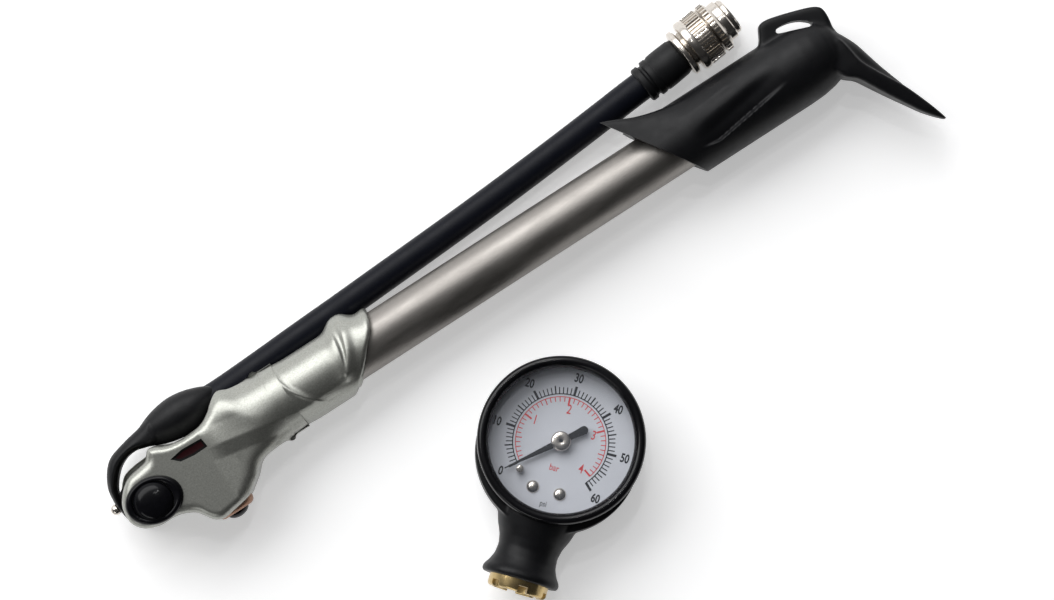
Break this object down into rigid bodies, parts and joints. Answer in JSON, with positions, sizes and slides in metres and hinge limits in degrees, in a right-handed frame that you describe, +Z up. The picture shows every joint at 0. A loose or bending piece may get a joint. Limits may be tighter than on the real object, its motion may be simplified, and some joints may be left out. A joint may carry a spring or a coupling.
{
  "type": "shock suspension pump",
  "caption": "High-pressure suspension pump: slim barrel, T handle, head with bleed button, fold-out hose with screw-on chuck, and a detached dial gauge.",
  "frame": {"origin": "centre of the underside of the box round the pump and its detached gauge, without the hose and its chuck", "axes": "+X along the barrel from the head to the handle, +Y towards the hose side, +Z up from the surface that both pieces lie on"},
  "size_m": [0.2228, 0.1019, 0.0215],
  "materials": {
    "head_paint": "silver pearl paint with a fine flake",
    "barrel_anodised": "satin anodised",
    "label": "dark blank inlay",
    "black_plastic": "moulded, matt",
    "gloss_black": "glossy moulded",
    "black_paint": "glossy black enamel",
    "hose_rubber": "smooth satin hose cover",
    "seal_rubber": "nitrile",
    "nickel": "nickel plated, bright",
    "steel": "turned",
    "chrome_rod": "ground and polished",
    "brass": "machined",
    "copper_brass": "dull copper tinted",
    "machined_aluminium": "turned",
    "nylon": "natural nylon",
    "dial_white": "white printed dial",
    "pointer_black": "matt black",
    "clear_lens": "clear polished"
  },
  "bodies": {
    "pump_body": {"head_body": "head_paint", "collar_sleeve": "head_paint", "label_inlay": "label", "barrel_tube": "barrel_anodised", "barrel_o_rings": "seal_rubber", "base_plug": "machined_aluminium", "check_ball": "steel", "check_spring": "steel", "rod_gland": "machined_aluminium", "rod_wiper": "seal_rubber", "pivot_axle": "steel", "bleed_bezel": "gloss_black", "bleed_spring": "steel", "port_boss": "copper_brass", "port_seal": "seal_rubber", "port_spring": "steel"},
    "bleed_valve": {"bleed_button": "gloss_black", "bleed_stem": "steel"},
    "port_valve": {"port_plunger": "gloss_black"},
    "handle": {"handle_grip": "black_plastic", "handle_bush": "nylon", "handle_plug": "black_plastic", "rod_screw": "steel", "piston_rod": "chrome_rod", "piston_head": "machined_aluminium", "piston_cup": "seal_rubber", "piston_o_ring": "seal_rubber"},
    "hose_arm": {"arm_boot": "black_plastic", "swivel_hub": "brass", "hub_o_rings": "seal_rubber", "arm_ball_plug": "nickel", "hose_barb": "nickel", "hose": "hose_rubber", "hose_end_boot": "seal_rubber", "hose_ferrule": "nickel", "chuck_body": "nickel"},
    "pin_ring": {"pin_ring": "nickel"},
    "valve_pin": {"valve_pin": "brass"},
    "valve_nut": {"valve_nut": "nickel", "valve_gasket": "seal_rubber"},
    "gauge": {"gauge_case": "black_paint", "gauge_bezel": "black_paint", "gauge_lens": "clear_lens", "gauge_dial": "dial_white", "dial_screws": "nickel", "stop_pin": "nickel", "gauge_holder": "black_plastic", "union_nut": "brass", "union_seal": "seal_rubber", "gauge_stem": "brass", "bourdon_tube": "copper_brass", "movement_plates": "brass", "hair_spring": "copper_brass"},
    "sector": {"sector_gear": "brass"},
    "pointer": {"pointer": "pointer_black", "pointer_spindle": "nickel"}
  },
  "joints": [
    {"name": "handle_stroke", "type": "slide", "parent": "pump_body", "child": "handle", "axis": [1, 0, 0], "range_m": [0, 0.112]},
    {"name": "hose_swing", "type": "hinge", "parent": "pump_body", "child": "hose_arm", "pos_m": [-0.10028, 0.02611, 0.0081], "axis": [0, 0, 1], "range_deg": [0, 180]},
    {"name": "bleed_press", "type": "slide", "parent": "pump_body", "child": "bleed_valve", "axis": [0, 0, -1], "range_m": [0, 0.0008], "stiffness_N_per_m": 400, "deforming": ["bleed_spring"]},
    {"name": "port_press", "type": "slide", "parent": "pump_body", "child": "port_valve", "axis": [0, 1, 0], "range_m": [0, 0.0012], "stiffness_N_per_m": 400},
    {"name": "pin_ring_turn", "type": "hinge", "parent": "hose_arm", "child": "pin_ring", "pos_m": [0.07162, 0.04884, 0.00695], "axis": [0.994, 0.1097, 0], "range_deg": [0, 360]},
    {"name": "pin_advance", "type": "slide", "parent": "hose_arm", "child": "valve_pin", "axis": [0.994, 0.1097, 0], "range_m": [0, 0.0012]},
    {"name": "valve_nut_spin", "type": "hinge", "parent": "hose_arm", "child": "valve_nut", "pos_m": [0.07758, 0.0495, 0.00695], "axis": [0.994, 0.1097, 0], "continuous": true},
    {"name": "gauge_lift_away", "type": "slide", "parent": "pump_body", "child": "gauge", "axis": [0, -1, 0], "range_m": [0, 0.04]},
    {"name": "pointer_swing", "type": "hinge", "parent": "gauge", "child": "pointer", "pos_m": [-0.00999, -0.01511, 0.01119], "axis": [-0.0873, -0.0748, -0.9934], "range_deg": [0, 264]},
    {"name": "sector_swing", "type": "hinge", "parent": "gauge", "child": "sector", "pos_m": [-0.0062, -0.02029, 0.00692], "axis": [-0.0873, -0.0748, -0.9934], "range_deg": [-44.5, 0]}
  ],
  "couplings": [
    {"joint": "pin_advance", "follows": "pin_ring_turn", "m_per_rad": 0.0001878},
    {"joint": "sector_swing", "follows": "pointer_swing", "ratio": -0.16667}
  ]
}
